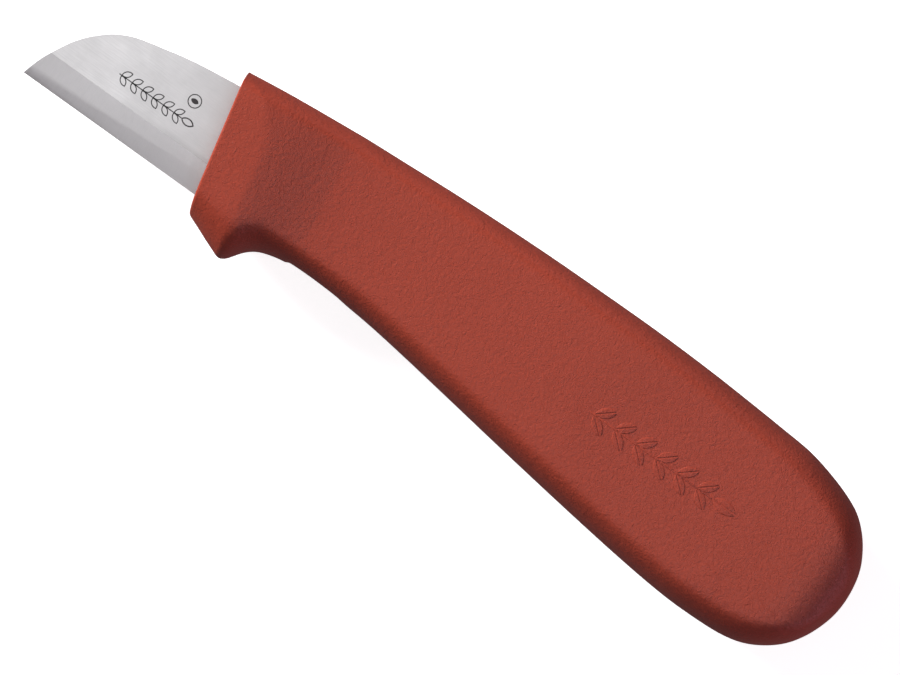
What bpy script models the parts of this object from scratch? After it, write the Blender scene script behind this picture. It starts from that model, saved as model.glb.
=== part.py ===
"""Grafting knife: a short fixed blade whose tang is held in a one-piece moulded handle.

The knife lies on its side. X runs along the cutting edge from the tip to the butt, Y from the
edge towards the spine, and Z is the thickness. While the pieces are modelled, the tip is at the
origin and the blade's middle plane is Z = 0. Lengths are in metres.
"""

import math

import bmesh
import bpy
import numpy as np
from mathutils import Matrix, Vector

MM = 0.001

# Fit between the blade and the plastic moulded round it.
FIT_CLEARANCE = 0.3 * MM

# Blade: a flat strip, ground from both sides to a straight edge.
EDGE_REACH = 31.8 * MM
BLADE_HEIGHT = 17.6 * MM
BLADE_THICKNESS = 2.0 * MM
BEVEL_HEIGHT = 4.8 * MM
EDGE_THICKNESS = 0.2 * MM
# The spine from the tip back to the handle: share of the edge's reach, share of the height.
SPINE_CURVE = (
    (-0.006, 0.0),
    (0.0095, 0.1),
    (0.028, 0.192),
    (0.047, 0.267),
    (0.094, 0.43),
    (0.141, 0.547),
    (0.189, 0.636),
    (0.236, 0.707),
    (0.283, 0.757),
    (0.330, 0.793),
    (0.377, 0.819),
    (0.472, 0.859),
    (0.566, 0.898),
    (0.660, 0.928),
    (0.755, 0.951),
    (0.849, 0.972),
    (1.0, 1.0),
)
SPINE_STEPS = 4

# Tang: the narrower tail of the same strip, with holes that the plastic keys through.
HEEL_LENGTH = 4.0 * MM
TANG_LENGTH = 62.0 * MM
TANG_HEIGHT = 10.0 * MM
TANG_OFFSET = 3.5 * MM
TANG_END_RADIUS = 4.0 * MM
KEY_HOLE_RADIUS = 2.5 * MM
KEY_HOLE_PITCH = 20.0 * MM
KEY_HOLE_COUNT = 3

# Handle: walls round the blade at the front, and the guard below them.
FACE_LEAN = math.radians(12.5)
FACE_ROUNDING = 0.4 * MM
SPINE_WALL = 2.1 * MM
EDGE_WALL = 2.9 * MM
GUARD_DEPTH = 5.7 * MM
COLLAR_LENGTH = 7.3 * MM
RIDGE_FORWARD = 5.9 * MM
RIDGE_BEND_START = 0.6
RIDGE_BEND_POWER = 2.2

# Handle: the long grip behind the collar.
GRIP_LENGTH = 98.2 * MM
WAIST_DISTANCE = 20.6 * MM
WAIST_DEPTH = 0.2 * MM
BELLY_DEPTH = 8.05 * MM
WAIST_RISE = 4.3 * MM
BACK_RISE = 6.15 * MM
BUTT_LENGTH = 17.2 * MM

# Handle: the thickness across the sides at the ridge and the grip, and what each side sinks by
# at the front face and at the waist.
HANDLE_THICKNESS = 18.0 * MM
FRONT_SINK = 0.35 * MM
WAIST_SINK = 1.4 * MM
CROWN = 0.2 * MM
SIDE_BULGE = 0.03
MOST_ROUNDED = 0.92

RINGS_PER_STATION = 3
RING_POINTS = 48
CORNER_CARE = 0.5

STEEL_COLOUR = (0.60, 0.61, 0.62, 1.0)
PLASTIC_COLOUR = (0.28, 0.035, 0.022, 1.0)


def clear_scene():
    for existing in list(bpy.data.objects):
        bpy.data.objects.remove(existing)


def make_material(name, colour, roughness, metallic):
    material = bpy.data.materials.new(name)
    material.use_nodes = True
    shader = material.node_tree.nodes["Principled BSDF"]
    shader.inputs["Base Color"].default_value = colour
    shader.inputs["Roughness"].default_value = roughness
    shader.inputs["Metallic"].default_value = metallic
    return material


def add_object(name, shape, material=None):
    """Turns a bmesh into an object, with its normals pointing out."""
    bmesh.ops.recalc_face_normals(shape, faces=shape.faces)
    mesh = bpy.data.meshes.new(name)
    shape.to_mesh(mesh)
    shape.free()
    thing = bpy.data.objects.new(name, mesh)
    bpy.context.scene.collection.objects.link(thing)
    if material:
        mesh.materials.append(material)
    return thing


def cut(thing, cutter):
    """Takes the cutter's shape out of an object, and leaves the cutter as a guide."""
    modifier = thing.modifiers.new("cut_" + cutter.name, "BOOLEAN")
    modifier.operation = "DIFFERENCE"
    modifier.solver = "EXACT"
    modifier.object = cutter
    cutter.hide_render = True
    cutter.display_type = "WIRE"


def heel_end():
    """Where the full-height blade stops inside the handle and the tang begins."""
    return EDGE_REACH + HEEL_LENGTH


def key_holes():
    """Centres of the tang's holes, spread evenly along it."""
    middle = heel_end() + TANG_LENGTH / 2
    first = middle - KEY_HOLE_PITCH * (KEY_HOLE_COUNT - 1) / 2
    height = TANG_OFFSET + TANG_HEIGHT / 2
    return [(first + KEY_HOLE_PITCH * i, height) for i in range(KEY_HOLE_COUNT)]


def between_points(points, place):
    """Catmull-Rom blend of a row of points, or of sections, at a place counted in points."""
    last = len(points) - 1
    first = min(int(place), last - 1)
    t = place - first
    a, b, c, d = (points[min(max(first + i, 0), last)] for i in (-1, 0, 1, 2))
    return 0.5 * (2 * b + (c - a) * t + (2 * a - 5 * b + 4 * c - d) * t**2
                  + (3 * b - a - 3 * c + d) * t**3)


def corner_arc(centre, radius, start, end, steps=6):
    angles = [start + (end - start) * i / steps for i in range(steps + 1)]
    return [(centre[0] + radius * math.cos(a), centre[1] + radius * math.sin(a)) for a in angles]


def blade_outline(grow):
    """The blade and tang seen from the side, each edge moved out by grow."""
    heel = heel_end() + grow
    tail = heel_end() + TANG_LENGTH + grow
    low = TANG_OFFSET - grow
    high = TANG_OFFSET + TANG_HEIGHT + grow
    radius = TANG_END_RADIUS + grow
    curve = np.array(SPINE_CURVE)
    steps = (len(curve) - 1) * SPINE_STEPS
    spine = [between_points(curve, i / SPINE_STEPS) for i in range(steps + 1)]
    outline = [(spine[0][0] * EDGE_REACH - grow, -grow)]
    outline += [(x * EDGE_REACH - grow, y * BLADE_HEIGHT + grow) for x, y in spine[1:]]
    outline += [(heel, BLADE_HEIGHT + grow), (heel, high)]
    outline += corner_arc((tail - radius, high - radius), radius, math.pi / 2, 0)
    outline += corner_arc((tail - radius, low + radius), radius, 0, -math.pi / 2)
    outline += [(heel, low), (heel, -grow)]
    return outline


def blade_solid(name, grow, material=None):
    """The ground blade, or with grow the space that it needs in the handle."""
    half = BLADE_THICKNESS / 2 + grow
    half_edge = EDGE_THICKNESS / 2 + grow
    shape = bmesh.new()
    corners = [shape.verts.new((x, y, -half)) for x, y in blade_outline(grow)]
    side = shape.faces.new(corners)
    grown = bmesh.ops.extrude_face_region(shape, geom=[side])
    raised = [part for part in grown["geom"] if isinstance(part, bmesh.types.BMVert)]
    bmesh.ops.translate(shape, verts=raised, vec=(0, 0, 2 * half))
    bmesh.ops.bisect_plane(
        shape,
        geom=shape.verts[:] + shape.edges[:] + shape.faces[:],
        plane_co=(0, BEVEL_HEIGHT, 0),
        plane_no=(0, 1, 0),
    )
    for corner in shape.verts:
        share = min(1.0, (corner.co.y + grow) / (BEVEL_HEIGHT + grow))
        thickness = half_edge + (half - half_edge) * share
        corner.co.z = math.copysign(thickness, corner.co.z)
    return add_object(name, shape, material)


def key_hole_pins(name, radius):
    """Round bars through the key holes, as one object of separate bars."""
    shape = bmesh.new()
    for x, y in key_holes():
        bmesh.ops.create_cone(
            shape,
            cap_ends=True,
            segments=24,
            radius1=radius,
            radius2=radius,
            depth=2 * HANDLE_THICKNESS,
            matrix=Matrix.Translation((x, y, 0)),
        )
    return add_object(name, shape)


def make_blade(material):
    blade = blade_solid("blade", 0, material)
    cut(blade, key_hole_pins("key_hole_cutter", KEY_HOLE_RADIUS))
    return blade


def collar_stations():
    """Sections from the front face over the collar's ridge and down to the waist."""
    lean = math.tan(FACE_LEAN)
    low_x = EDGE_REACH + EDGE_WALL * lean
    high_y = BLADE_HEIGHT + SPINE_WALL
    high_x = EDGE_REACH - high_y * lean
    ridge = HANDLE_THICKNESS / 2
    front = ridge - FRONT_SINK
    waist = ridge - WAIST_SINK
    climb = WAIST_RISE - SPINE_WALL
    hollow = WAIST_DISTANCE - COLLAR_LENGTH
    stations = []
    # Share of the collar's length, of the guard's drop, of the climb, of the ridge's lean and height.
    for along, drop, up, forward, bulge in (
        (0.0, 0.0, 0.0, 0.0, 0.0),
        (0.28, 0.29, 0.17, 0.29, 0.31),
        (0.58, 0.61, 0.32, 0.58, 0.64),
        (0.83, 0.86, 0.43, 0.84, 0.91),
        (1.0, 1.0, 0.5, 1.0, 1.0),
    ):
        x = along * COLLAR_LENGTH
        depth = EDGE_WALL + drop * (GUARD_DEPTH - EDGE_WALL)
        rise = SPINE_WALL + up * climb
        thick = front + bulge * (ridge - front)
        stations.append((low_x + x, -depth, high_x + x, BLADE_HEIGHT + rise,
                         forward * RIDGE_FORWARD, thick,
                         (4.4 + 2.8 * along) * MM, (2.4 + 0.6 * along) * MM))
    # Share of the hollow's length below and above, of the drop left, of the climb and so on.
    for below, above, drop, up, forward, bulge in (
        (0.075, 0.075, 0.90, 0.53, 0.9, 0.94),
        (0.135, 0.15, 0.705, 0.57, 0.76, 0.86),
        (0.21, 0.255, 0.46, 0.63, 0.61, 0.75),
        (0.33, 0.42, 0.235, 0.71, 0.43, 0.55),
        (0.51, 0.66, 0.09, 0.83, 0.2, 0.27),
        (0.65, 0.84, 0.03, 0.92, 0.08, 0.11),
        (0.78, 1.0, 0.0, 1.0, 0.0, 0.03),
    ):
        depth = WAIST_DEPTH + drop * (GUARD_DEPTH - WAIST_DEPTH)
        rise = SPINE_WALL + up * climb
        thick = waist + bulge * (ridge - waist)
        stations.append((low_x + COLLAR_LENGTH + below * hollow, -depth,
                         high_x + COLLAR_LENGTH + above * hollow, BLADE_HEIGHT + rise,
                         forward * RIDGE_FORWARD, thick,
                         (3.4 + 3.8 * (1 - above)**2) * MM, 3.0 * MM))
    return stations


def grip_stations():
    """Sections from the waist along the swelling grip and round the butt."""
    start = collar_stations()[-1][2]
    shoulder = GRIP_LENGTH - BUTT_LENGTH
    full = HANDLE_THICKNESS / 2 + CROWN
    waist = HANDLE_THICKNESS / 2 - WAIST_SINK
    stations = []
    # Share of the grip's length, of the sink to the belly, of the back's rise and of the swell.
    for along, sink, rise, swell in (
        (0.08, 0.0, 0.22, 0.02),
        (0.175, 0.045, 0.49, 0.13),
        (0.27, 0.155, 0.70, 0.31),
        (0.395, 0.33, 0.89, 0.56),
        (0.52, 0.51, 0.97, 0.79),
        (0.64, 0.675, 1.0, 0.95),
        (0.765, 0.835, 0.88, 1.0),
        (0.865, 0.945, 0.66, 1.0),
        (0.94, 1.0, 0.46, 0.98),
    ):
        depth = WAIST_DEPTH + sink * (BELLY_DEPTH - WAIST_DEPTH)
        above = WAIST_RISE + rise * (BACK_RISE - WAIST_RISE)
        x = start + along * shoulder
        stations.append((x, -depth, x, BLADE_HEIGHT + above, 0.0,
                         waist + swell * (full - waist),
                         (3.5 + 0.8 * along) * MM, (3.1 + 1.1 * along) * MM))
    height = BELLY_DEPTH + BLADE_HEIGHT + BACK_RISE
    # Share of the butt's length left, of the height rounded off below and above, of the thickness.
    for left, below, above, thick in (
        (1.0, 0.0, 0.043, 0.98),
        (0.74, 0.008, 0.074, 0.975),
        (0.535, 0.033, 0.109, 0.965),
        (0.36, 0.083, 0.153, 0.935),
        (0.215, 0.151, 0.223, 0.845),
        (0.116, 0.230, 0.296, 0.685),
        (0.052, 0.310, 0.366, 0.49),
        (0.015, 0.385, 0.450, 0.28),
        (0.0, 0.461, 0.539, 0.0),
    ):
        x = start + GRIP_LENGTH - left * BUTT_LENGTH
        stations.append((x, below * height - BELLY_DEPTH, x, BLADE_HEIGHT + BACK_RISE - above * height,
                         0.0, thick * full, (5.6 - 1.2 * left) * MM, (5.6 - 1.2 * left) * MM))
    return stations


def rounded_end(corner, aspect):
    """Points from the end of a section of half height 1 to the middle of its flat side.

    The last part of the height is rounded off, and the points are closer together there.
    """
    turn = np.linspace(0, math.pi / 2, 61)
    high = np.append(1 - corner + corner * np.cos(turn), 0)
    wide = np.append(np.sin(turn), 1)
    length = np.concatenate([[0], np.cumsum(np.hypot(np.diff(high), np.diff(wide) * aspect))])
    effort = length / length[-1] + CORNER_CARE * np.append(turn, turn[-1])
    stops = np.linspace(0, effort[-1], RING_POINTS // 4 + 1)
    high = np.interp(stops, effort, high)
    wide = np.interp(stops, effort, wide) * (1 - SIDE_BULGE * high**2)
    return high, wide


def handle_ring(stations, place, inset):
    """One closed section of the handle, drawn in by inset all round."""
    (low_x, low_y, high_x, high_y, forward, half, low_corner,
     high_corner) = between_points(stations, place)
    low = Vector((low_x, low_y, 0))
    high = Vector((high_x, high_y, 0))
    reach = (high - low).length / 2
    middle = (low + high) / 2
    axis = (high - low).normalized()
    along_back = Vector((-1, -(high_y - stations[0][3]) / max(high_x - stations[0][2], MM), 0))
    low_high, low_wide = rounded_end(min(low_corner / reach, MOST_ROUNDED), half / reach)
    top_high, top_wide = rounded_end(min(high_corner / reach, MOST_ROUNDED), half / reach)
    heights = np.concatenate([top_high[:-1], -low_high[:0:-1], -low_high[:-1], top_high[:0:-1]])
    widths = np.concatenate([top_wide[:-1], low_wide[:0:-1], -low_wide[:-1], -top_wide[:0:-1]])
    points = []
    for up, across in zip(heights, widths):
        bend = max(0.0, ((up + 1) / 2 - RIDGE_BEND_START) / (1 - RIDGE_BEND_START))
        point = middle + axis * up * (reach - inset)
        point += along_back * forward * bend**RIDGE_BEND_POWER
        point.z = across * (half - inset)
        point.z = max(-HANDLE_THICKNESS / 2, min(HANDLE_THICKNESS / 2, point.z))
        points.append(point)
    return points


def make_handle(material):
    stations = np.array(collar_stations() + grip_stations())
    first_gap = stations[1][2] - stations[0][2]
    rings = []
    for step in range(3):
        turned = step * math.pi / 4
        back = FACE_ROUNDING * (1 - math.cos(turned))
        inset = FACE_ROUNDING * (1 - math.sin(turned))
        rings.append(handle_ring(stations, back / first_gap, inset))
    steps = (len(stations) - 1) * RINGS_PER_STATION
    for step in range(1, steps):
        rings.append(handle_ring(stations, step / RINGS_PER_STATION, 0))
    butt = Vector((stations[-1][0], stations[-1][1], 0))

    shape = bmesh.new()
    rows = [[shape.verts.new(point) for point in ring] for ring in rings]
    shape.faces.new(rows[0])
    for row, following in zip(rows, rows[1:]):
        for i in range(RING_POINTS):
            j = (i + 1) % RING_POINTS
            shape.faces.new((row[i], row[j], following[j], following[i]))
    end = shape.verts.new(butt)
    for i in range(RING_POINTS):
        shape.faces.new((rows[-1][i], rows[-1][(i + 1) % RING_POINTS], end))
    handle = add_object("handle", shape, material)
    handle.data.shade_smooth()
    handle.data.set_sharp_from_angle(angle=math.radians(40))

    slot = blade_solid("tang_slot_cutter", FIT_CLEARANCE)
    cut(slot, key_hole_pins("key_post_guide", KEY_HOLE_RADIUS - FIT_CLEARANCE))
    cut(handle, slot)
    return handle


def rest_on_floor(pieces):
    """Moves the pieces so that the middle of their box's underside is the world's origin."""
    corners = [Vector(corner) for piece in pieces for corner in piece.bound_box]
    low = Vector([min(corner[i] for corner in corners) for i in range(3)])
    high = Vector([max(corner[i] for corner in corners) for i in range(3)])
    place = bpy.data.objects.new("knife", None)
    bpy.context.scene.collection.objects.link(place)
    place.location = (-(low.x + high.x) / 2, -(low.y + high.y) / 2, -low.z)
    for thing in list(bpy.data.objects):
        if thing != place:
            thing.parent = place


clear_scene()
steel = make_material("blade_steel", STEEL_COLOUR, 0.32, 1.0)
plastic = make_material("handle_plastic", PLASTIC_COLOUR, 0.55, 0.0)
knife = [make_blade(steel), make_handle(plastic)]
bpy.context.view_layer.update()
rest_on_floor(knife)
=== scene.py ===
import math

import bpy
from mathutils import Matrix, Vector


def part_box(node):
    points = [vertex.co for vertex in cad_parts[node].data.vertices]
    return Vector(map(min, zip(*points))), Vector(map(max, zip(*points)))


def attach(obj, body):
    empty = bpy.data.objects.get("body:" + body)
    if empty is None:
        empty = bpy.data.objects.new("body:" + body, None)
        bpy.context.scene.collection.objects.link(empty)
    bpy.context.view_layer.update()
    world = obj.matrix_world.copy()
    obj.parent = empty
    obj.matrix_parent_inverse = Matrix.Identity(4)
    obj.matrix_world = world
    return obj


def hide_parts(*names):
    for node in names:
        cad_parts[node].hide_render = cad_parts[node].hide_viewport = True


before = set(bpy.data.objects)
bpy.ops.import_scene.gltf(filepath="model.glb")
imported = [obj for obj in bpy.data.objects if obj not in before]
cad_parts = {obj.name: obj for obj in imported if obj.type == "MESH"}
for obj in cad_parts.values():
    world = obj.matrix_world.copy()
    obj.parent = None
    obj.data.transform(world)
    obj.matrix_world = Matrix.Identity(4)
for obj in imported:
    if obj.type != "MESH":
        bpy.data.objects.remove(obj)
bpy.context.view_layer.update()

# ---------------------------------------------------------------------------
# The blade: one strip of knife steel, fine ground along its length on the flats and ground across
# on the bevel. Its heel and tang run on inside the handle.
# ---------------------------------------------------------------------------
BLADE_LOW, BLADE_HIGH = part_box("blade")
HANDLE_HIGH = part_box("handle")[1]
EDGE_Y = BLADE_LOW.y
MID_Z = (BLADE_LOW.z + BLADE_HIGH.z) / 2
BEVEL_HEIGHT = 0.0048
EDGE_SHARPNESS = 0.1
SPINE_BREAK = 0.00008
# Where the painted shade on the steel starts and ends towards the handle, and how high above the bevel line
# its darkest band reaches.
HANDLE_SHADE_START = 0.009
HANDLE_SHADE_END = 0.029
BEVEL_LINE_SHADE_HEIGHT = 0.0011
LONG_GRIND = (260.0, 5200.0, 800.0)
CROSS_GRIND = (4200.0, 420.0, 800.0)
STEEL_CLOUD = 170.0
REACH = 0.0001


def copy_of(node, name):
    """A new piece with a CAD node's mesh, its loose triangles joined up."""
    piece = bpy.data.objects.new(name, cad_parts[node].data.copy())
    bpy.context.scene.collection.objects.link(piece)
    edit(piece)
    bpy.ops.mesh.select_all(action="SELECT")
    bpy.ops.mesh.remove_doubles(threshold=0.000001)
    bpy.ops.mesh.mark_sharp(clear=True)
    bpy.ops.mesh.customdata_custom_splitnormals_clear()
    return piece


def select_only(piece):
    """Goes back to object mode, with one piece selected and active."""
    if bpy.context.mode != "OBJECT":
        bpy.ops.object.mode_set(mode="OBJECT")
    bpy.ops.object.select_all(action="DESELECT")
    piece.select_set(True)
    bpy.context.view_layer.objects.active = piece


def edit(piece):
    """Goes into edit mode on one piece, with nothing else selected."""
    select_only(piece)
    bpy.ops.object.mode_set(mode="EDIT")


def pick(piece, wanted):
    """Selects the corners of a piece whose place passes the test, and what lies between them."""
    bpy.ops.object.mode_set(mode="OBJECT")
    for corner in piece.data.vertices:
        corner.select = wanted(corner.co)
    for side in [*piece.data.edges, *piece.data.polygons]:
        side.select = all(piece.data.vertices[i].select for i in side.vertices)
    bpy.ops.object.mode_set(mode="EDIT")
    bpy.ops.mesh.select_mode(type="VERT")


def finish_with(piece, kind, **settings):
    """Adds a modifier and applies it."""
    select_only(piece)
    modifier = piece.modifiers.new(kind.title(), kind)
    for name, value in settings.items():
        setattr(modifier, name, value)
    bpy.ops.object.modifier_apply(modifier=modifier.name)


def dress(piece, finish):
    """Gives a piece one finish all over."""
    piece.data.materials.clear()
    piece.data.materials.append(finish)


class Flow:
    """A shader socket, so that a pattern can be written as a sum."""

    def __init__(self, socket):
        self.socket = socket

    def node(self, kind, settings=None, inputs=None, output=0):
        """Adds a node of that type, with its settings and the values or links of its sockets."""
        made = self.socket.id_data.nodes.new("ShaderNode" + kind)
        for name, value in (settings or {}).items():
            setattr(made, name, value)
        for name, value in (inputs or {}).items():
            if isinstance(value, Flow):
                self.socket.id_data.links.new(value.socket, made.inputs[name])
            else:
                made.inputs[name].default_value = value
        return Flow(made.outputs[output])

    def math(self, operation, first, second):
        return self.node("Math", {"operation": operation}, {0: first, 1: second})

    def __add__(self, other):
        return self.math("ADD", self, other)

    def __sub__(self, other):
        return self.math("SUBTRACT", self, other)

    def __rsub__(self, other):
        return self.math("SUBTRACT", other, self)

    def __mul__(self, other):
        return self.math("MULTIPLY", self, other)

    def __gt__(self, other):
        return self.math("GREATER_THAN", self, other)

    __radd__ = __add__
    __rmul__ = __mul__

    def blend(self, low, high):
        """A colour between two, by this value."""
        return self.node("Mix", {"data_type": "RGBA"}, {0: self, 6: low, 7: high}, 2)

    def ramp(self, start, end):
        """This value as 0 at the start and 1 at the end, and no further."""
        return self.node("MapRange", {"interpolation_type": "SMOOTHSTEP"},
                         {"Value": self, "From Min": start, "From Max": end})

    def noise(self, scale, detail=2.0, roughness=0.5, distortion=0.0):
        """Cloudy noise read at this vector."""
        return self.node("TexNoise", None, {"Vector": self, "Scale": scale, "Detail": detail,
                                            "Roughness": roughness, "Distortion": distortion})

    def stretched(self, scale):
        """This vector with each axis scaled."""
        return self.node("Mapping", None, {"Vector": self, "Scale": scale})

    def axis(self, name):
        return self.node("SeparateXYZ", None, {"Vector": self}, name)

    def bump(self, height):
        """A normal from this pattern, as high as given."""
        return self.node("Bump", None, {"Height": self, "Distance": height})


def new_finish(name, **values):
    """A Principled material with its even values set: returns it, its place vector and its shader."""
    material = bpy.data.materials.new(name)
    material.use_nodes = True
    shader = material.node_tree.nodes["Principled BSDF"]
    for socket, value in values.items():
        shader.inputs[socket.replace("_", " ")].default_value = value
    coordinates = material.node_tree.nodes.new("ShaderNodeTexCoord")
    return material, Flow(coordinates.outputs["Object"]), shader


def feed(shader, **flows):
    for socket, flow in flows.items():
        shader.id_data.links.new(flow.socket, shader.inputs[socket.replace("_", " ")])


def knife_steel():
    material, place, shader = new_finish("knife_steel", Metallic=1.0)
    on_flat = place.axis("Y") > EDGE_Y + BEVEL_HEIGHT
    long_grind = place.stretched(LONG_GRIND).noise(1.0, 3.0, 0.6)
    cross_grind = place.stretched(CROSS_GRIND).noise(1.0, 3.0, 0.6)
    cloud = place.noise(STEEL_CLOUD, 3.0, 0.6, 0.4)
    grind = long_grind * on_flat + cross_grind * (1.0 - on_flat)
    tone = cloud * 0.55 + grind * 0.45
    # Painted shade: the steel's colour is darkened towards the handle, most of all in a band just above the
    # bevel line there.
    handle_shade = place.axis("X").ramp(BLADE_LOW.x + HANDLE_SHADE_START, BLADE_LOW.x + HANDLE_SHADE_END)
    bevel_line_shade = place.axis("Y").ramp(EDGE_Y + BEVEL_HEIGHT + BEVEL_LINE_SHADE_HEIGHT, EDGE_Y + BEVEL_HEIGHT)
    tone = tone * (1.0 - handle_shade * (bevel_line_shade * 0.4 + 0.55))
    flat_tone = tone.blend((0.48, 0.48, 0.48, 1.0), (1.0, 1.0, 1.0, 1.0))
    bevel_tone = tone.blend((0.74, 0.74, 0.74, 1.0), (0.92, 0.92, 0.92, 1.0))
    feed(
        shader,
        Base_Color=on_flat.blend(bevel_tone, flat_tone),
        Roughness=grind * 0.16 + 0.26,
        Normal=grind.bump(0.00001),
    )
    return material


blade = copy_of("blade", "blade_strip")
pick(blade, lambda at: at.y < EDGE_Y + REACH)
bpy.ops.transform.resize(value=(1.0, 1.0, EDGE_SHARPNESS), center_override=(0.0, EDGE_Y, MID_Z))
finish_with(blade, "BEVEL", width=SPINE_BREAK, segments=2, limit_method="ANGLE",
            angle_limit=math.radians(60.0), harden_normals=False)
bpy.ops.object.shade_smooth_by_angle(angle=math.radians(5.0))
dress(blade, knife_steel())
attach(blade, "root")
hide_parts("blade")

# ---------------------------------------------------------------------------
# The etched mark: a leafy sprig, and a bud in a ring, drawn in thin dark lines on the flat of the
# blade by an electric etch. The lines have hardly any depth.
# ---------------------------------------------------------------------------
ARC_POINTS = 96
LEAF_LENGTH = 0.00180
LEAF_WIDTH = 0.00098
LEAF_PAIRS = 6
LEAF_PITCH = 0.00192
FIRST_PAIR = 0.2
LEAF_SPREAD = math.radians(40.0)
BUD_GROWTH = 1.25
STEM_LENGTH = 0.0114
STEM_WIDTH = 0.00016
ETCH_LINE = 0.00016
ETCH_THICKNESS = 0.000012
MARK_START = Vector((BLADE_LOW.x + 0.0119, EDGE_Y + 0.0082, BLADE_HIGH.z))
RING_POINTS = 64
RING_RADIUS = 0.0011
RING_BUD_LENGTH = RING_RADIUS * 1.2
RING_BUD_WIDTH = RING_RADIUS * 0.7
RING_PLACE = Vector((BLADE_LOW.x + 0.0235, EDGE_Y + 0.0114, BLADE_HIGH.z))


def half_leaf(length, width):
    """One half of a flat pointed leaf, from its foot at the origin along X, left of its midrib."""
    radius = (length**2 + width**2) / (4 * width)
    bpy.ops.object.select_all(action="DESELECT")
    bpy.ops.mesh.primitive_circle_add(vertices=ARC_POINTS, radius=radius, fill_type="NGON",
                                      location=(length / 2, width / 2 - radius, 0.0))
    leaf = bpy.context.object
    bpy.ops.object.transform_apply()
    edit(leaf)
    bpy.ops.mesh.select_all(action="SELECT")
    bpy.ops.mesh.bisect(plane_co=(0.0, 0.0, 0.0), plane_no=(0.0, 1.0, 0.0), clear_inner=True,
                        threshold=0.0000001)
    bpy.ops.mesh.select_all(action="SELECT")
    return leaf


def other_half():
    """Mirrors the half leaf that is being edited across its midrib."""
    bpy.ops.mesh.select_all(action="SELECT")
    bpy.ops.mesh.symmetrize(direction="POSITIVE_Y", threshold=0.0000001)
    bpy.ops.mesh.select_all(action="SELECT")


def put(piece, place, turn=0.0, growth=1.0):
    """Puts a copy of a piece at a place, turned about Z, with all of it in its mesh."""
    another = bpy.data.objects.new(piece.name, piece.data.copy())
    bpy.context.scene.collection.objects.link(another)
    another.location = place
    another.rotation_euler.z = turn
    another.scale = (growth, growth, 1.0)
    select_only(another)
    bpy.ops.object.transform_apply()
    return another


def lay_sprig(name, stem, leaf, start, growth):
    """Joins copies of a stem and its leaf, in pairs and a larger one at the end, into one piece."""
    pieces = [put(stem, start)]
    for pair in range(LEAF_PAIRS):
        foot = start + Vector((LEAF_PITCH * growth * (pair + FIRST_PAIR), 0.0, 0.0))
        pieces += [put(leaf, foot, LEAF_SPREAD), put(leaf, foot, -LEAF_SPREAD)]
    pieces.append(put(leaf, start + Vector((STEM_LENGTH * growth, 0.0, 0.0)), 0.0, BUD_GROWTH))
    bpy.data.objects.remove(stem)
    bpy.data.objects.remove(leaf)
    return join(name, pieces)


def join(name, pieces):
    bpy.ops.object.select_all(action="DESELECT")
    for piece in pieces:
        piece.select_set(True)
    bpy.context.view_layer.objects.active = pieces[0]
    bpy.ops.object.join()
    pieces[0].name = name
    return pieces[0]


def bar(length, width):
    """A flat strip along X from the origin."""
    bpy.ops.object.select_all(action="DESELECT")
    bpy.ops.mesh.primitive_plane_add(size=1.0, location=(length / 2, 0.0, 0.0))
    strip = bpy.context.object
    strip.scale = (length, width, 1.0)
    bpy.ops.object.transform_apply()
    return strip


def keep_outline(line):
    """Leaves a line round the selected flat face, and takes away its middle."""
    bpy.ops.mesh.select_mode(type="FACE")
    bpy.ops.mesh.inset(thickness=line)
    bpy.ops.mesh.delete(type="FACE")
    bpy.ops.object.mode_set(mode="OBJECT")


def etch_black():
    material, place, shader = new_finish("etch_black", Metallic=0.0, Specular_IOR_Level=0.3)
    speckle = place.noise(9000.0, 2.0, 0.6)
    feed(shader, Base_Color=speckle.blend((0.012, 0.012, 0.013, 1.0), (0.075, 0.075, 0.078, 1.0)),
         Roughness=speckle * 0.2 + 0.5)
    return material


etched_leaf = half_leaf(LEAF_LENGTH, LEAF_WIDTH)
other_half()
bpy.ops.mesh.dissolve_limited(angle_limit=math.radians(1.0))
keep_outline(ETCH_LINE)
sprig = lay_sprig("etched_sprig", bar(STEM_LENGTH, STEM_WIDTH), etched_leaf, MARK_START, 1.0)
bpy.ops.object.select_all(action="DESELECT")
bpy.ops.mesh.primitive_circle_add(vertices=RING_POINTS, radius=RING_RADIUS, fill_type="NGON",
                                  location=RING_PLACE)
ring = bpy.context.object
bpy.ops.object.transform_apply()
edit(ring)
bpy.ops.mesh.select_all(action="SELECT")
keep_outline(ETCH_LINE)
bud = half_leaf(RING_BUD_LENGTH, RING_BUD_WIDTH)
other_half()
bpy.ops.object.mode_set(mode="OBJECT")
ring_bud = put(bud, RING_PLACE - Vector((RING_BUD_LENGTH / 2, 0.0, 0.0)))
bpy.data.objects.remove(bud)
blade_mark = join("blade_mark", [sprig, ring, ring_bud])
finish_with(blade_mark, "SOLIDIFY", thickness=ETCH_THICKNESS, offset=1.0)
dress(blade_mark, etch_black())
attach(blade_mark, "root")

# ---------------------------------------------------------------------------
# The handle: one moulding of red polypropylene round the tang. The mould's fine leather grain is
# all over it, and it shrinks tight on to the steel at the mouth of the slot.
# ---------------------------------------------------------------------------
MOUTH_SQUEEZE_Z = 0.79
MOUTH_SQUEEZE_Y = 0.97
SLOT_HALF = 0.00132
SLOT_MARGIN = 0.00032
GRAIN_SIZE = 0.00055
DIMPLE_SIZE = GRAIN_SIZE / 0.42
PLASTIC_CLOUD = 90.0
DEEP_RED = (0.31, 0.044, 0.0225, 1.0)
PALE_RED = (0.365, 0.054, 0.0295, 1.0)


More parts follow.
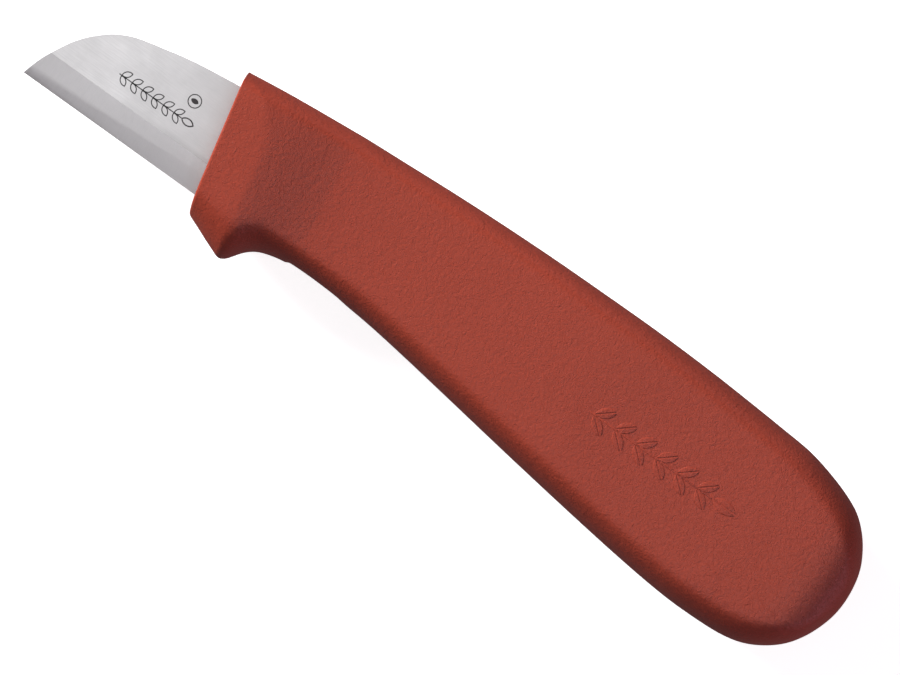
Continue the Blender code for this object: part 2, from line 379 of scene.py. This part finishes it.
def red_plastic():
    material, place, shader = new_finish("red_plastic", Metallic=0.0, Specular_IOR_Level=0.34)
    grain = place.noise(1.0 / GRAIN_SIZE, 3.0, 0.55, 1.2)
    dimples = place.noise(1.0 / DIMPLE_SIZE, 2.0, 0.5, 0.6)
    cloud = place.noise(PLASTIC_CLOUD, 2.0, 0.5)
    tone = cloud * 0.6 + grain * 0.4
    feed(
        shader,
        Base_Color=tone.blend(DEEP_RED, PALE_RED),
        Roughness=grain * 0.14 + 0.40,
        Normal=(grain * 0.6 + dimples * 0.4).bump(0.00018),
    )
    return material


handle = copy_of("handle", "handle_moulding")
bpy.ops.mesh.tris_convert_to_quads(face_threshold=math.radians(40.0), shape_threshold=math.radians(60.0))
slot_low = EDGE_Y - SLOT_MARGIN
slot_high = BLADE_HIGH.y + SLOT_MARGIN
pick(handle, lambda at: abs(at.z - MID_Z) < SLOT_HALF and slot_low < at.y < slot_high
     and at.x < BLADE_HIGH.x + SLOT_MARGIN + REACH)
bpy.ops.transform.resize(value=(1.0, MOUTH_SQUEEZE_Y, MOUTH_SQUEEZE_Z),
                         center_override=(0.0, (EDGE_Y + BLADE_HIGH.y) / 2, MID_Z))
bpy.ops.mesh.select_all(action="DESELECT")
bpy.ops.mesh.select_mode(type="EDGE")
bpy.ops.mesh.edges_select_sharp(sharpness=math.radians(50.0))
bpy.ops.transform.edge_crease(value=1.0)
finish_with(handle, "SUBSURF", levels=2, render_levels=2)
bpy.ops.object.shade_smooth_by_angle(angle=math.radians(50.0))
PLASTIC = red_plastic()
dress(handle, PLASTIC)
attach(handle, "root")
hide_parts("handle")

# ---------------------------------------------------------------------------
# The raised mark: the same sprig, larger, moulded in low relief on the flat of the grip. Each half
# leaf is a low cushion with sloping sides, and a groove between the halves makes the midrib.
# ---------------------------------------------------------------------------
RELIEF_GROWTH = 1.95
RELIEF_LEAF_LENGTH = LEAF_LENGTH * RELIEF_GROWTH
RELIEF_LEAF_WIDTH = LEAF_WIDTH * RELIEF_GROWTH
RELIEF_STEM_LENGTH = STEM_LENGTH * RELIEF_GROWTH
RELIEF_STEM_WIDTH = STEM_WIDTH * RELIEF_GROWTH * 1.5
RELIEF_START = Vector((HANDLE_HIGH.x - 0.0480, EDGE_Y + 0.0080, HANDLE_HIGH.z))
RELIEF_HEIGHT = 0.00006
RELIEF_FOOT = 0.00010
CUSHION_LENGTH = 0.86
CUSHION_WIDTH = 0.62
CUSHION_MIDDLE = 0.2
STEM_TOP_LENGTH = 0.99
STEM_TOP_WIDTH = 0.45
RELIEF_SOFTNESS = 0.00004


def raise_cushion(piece, middle, along, across):
    """Raises a flat face out of the handle, its top drawn in towards a middle."""
    edit(piece)
    bpy.ops.mesh.select_all(action="SELECT")
    bpy.ops.transform.translate(value=(0.0, 0.0, -RELIEF_FOOT))
    bpy.ops.mesh.select_mode(type="FACE")
    rise = (0.0, 0.0, RELIEF_FOOT + RELIEF_HEIGHT)
    bpy.ops.mesh.extrude_region_move(TRANSFORM_OT_translate={"value": rise})
    bpy.ops.transform.resize(value=(along, across, 1.0), center_override=middle)


relief_leaf = half_leaf(RELIEF_LEAF_LENGTH, RELIEF_LEAF_WIDTH)
raise_cushion(relief_leaf, (RELIEF_LEAF_LENGTH / 2, RELIEF_LEAF_WIDTH * CUSHION_MIDDLE, 0.0),
              CUSHION_LENGTH, CUSHION_WIDTH)
other_half()
bpy.ops.object.mode_set(mode="OBJECT")
relief_stem = bar(RELIEF_STEM_LENGTH, RELIEF_STEM_WIDTH)
raise_cushion(relief_stem, (RELIEF_STEM_LENGTH / 2, 0.0, 0.0), STEM_TOP_LENGTH, STEM_TOP_WIDTH)
bpy.ops.object.mode_set(mode="OBJECT")
handle_mark = lay_sprig("handle_mark", relief_stem, relief_leaf, RELIEF_START, RELIEF_GROWTH)
edit(handle_mark)
bpy.ops.mesh.select_all(action="SELECT")
bpy.ops.mesh.fill_holes(sides=0)
bpy.ops.mesh.select_all(action="SELECT")
bpy.ops.mesh.normals_make_consistent(inside=False)
finish_with(handle_mark, "BEVEL", width=RELIEF_SOFTNESS, segments=2, limit_method="ANGLE",
            angle_limit=math.radians(30.0), use_clamp_overlap=True)
bpy.ops.object.shade_smooth_by_angle(angle=math.radians(40.0))
dress(handle_mark, PLASTIC)
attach(handle_mark, "root")

# ---------------------------------------------------------------------------
# The stage: a pale table that glows, a camera square on to the knife's side, and six soft lights in
# a dim room. The camera alone sees the room's wall as pale, and the table lights nothing.
# ---------------------------------------------------------------------------
TABLE_SIZE = 40.0
TABLE_DROP = 0.0001
bpy.ops.object.select_all(action="DESELECT")
bpy.ops.mesh.primitive_plane_add(size=TABLE_SIZE, location=(0.0, 0.0, -TABLE_DROP))
table = bpy.context.object
table.name = "table"
paper, _, _ = new_finish("pale_paper", Base_Color=(0.9, 0.9, 0.9, 1.0), Roughness=0.9,
                         Emission_Color=(1.0, 1.0, 1.0, 1.0), Emission_Strength=0.85)
dress(table, paper)
table.visible_diffuse = False
table.visible_glossy = False

TURN = math.radians(35.57)
LENS = 200.0
DISTANCE = 0.750
AIM = Vector((0.00196, -0.00298, MID_Z))
bpy.ops.object.camera_add(location=AIM + Vector((0.0, 0.0, DISTANCE)), rotation=(0.0, 0.0, TURN))
camera = bpy.context.object
camera.data.lens = LENS
camera.data.clip_start = 0.01
bpy.context.scene.camera = camera

KEY_PLACE = (-2.528, 2.581, 1.31)
KEY_SIZE = 1.5


def soft_light(name, place, size, power, color=(1.0, 1.0, 1.0)):
    """A square light at a place given as the camera's own right and up and a height, aimed at the knife."""
    right, up, height = place
    spot = Vector((right * math.cos(TURN) - up * math.sin(TURN),
                   right * math.sin(TURN) + up * math.cos(TURN), height))
    bpy.ops.object.light_add(type="AREA", location=spot)
    light = bpy.context.object
    light.name = name
    light.data.shape = "SQUARE"
    light.data.size = size
    light.data.energy = power
    light.data.color = color
    light.rotation_mode = "QUATERNION"
    light.rotation_quaternion = (spot - AIM).to_track_quat("Z", "Y")
    return light


# The key light throws no reflections. A weaker one at its place does, so that low views don't wash out.
key_light = soft_light("key_light", KEY_PLACE, KEY_SIZE, power=316.0)
key_light.visible_glossy = False
key_glint = soft_light("key_glint", KEY_PLACE, KEY_SIZE, power=70.0)
key_glint.visible_diffuse = False
overhead_light = soft_light("overhead_light", (0.0, 0.0, 1.3), size=1.0, power=3.0)
overhead_light.visible_diffuse = False
butt_sheen = soft_light("butt_sheen", (0.28, -0.38, 0.92), size=0.5, power=1.8, color=(1.0, 0.86, 0.96))
butt_sheen.visible_diffuse = False
soft_light("spine_rim", (0.70, 0.98, 0.05), size=0.5, power=1.3, color=(1.0, 0.80, 0.90))
soft_light("edge_fill", (0.75, -0.66, 0.16), size=0.5, power=2.4, color=(1.0, 0.55, 0.75))

world = bpy.data.worlds.new("studio")
bpy.context.scene.world = world
world.use_nodes = True
nodes, links = world.node_tree.nodes, world.node_tree.links
room = nodes["Background"]
room.inputs["Color"].default_value = (1.0, 0.92, 1.0, 1.0)
room.inputs["Strength"].default_value = 0.15
wall = nodes.new("ShaderNodeBackground")
wall.inputs["Color"].default_value = (0.92, 0.92, 0.92, 1.0)
seen = nodes.new("ShaderNodeLightPath")
either = nodes.new("ShaderNodeMixShader")
links.new(seen.outputs["Is Camera Ray"], either.inputs["Fac"])
links.new(room.outputs["Background"], either.inputs[1])
links.new(wall.outputs["Background"], either.inputs[2])
links.new(either.outputs["Shader"], nodes["World Output"].inputs["Surface"])
bpy.context.scene.view_settings.view_transform = "Standard"
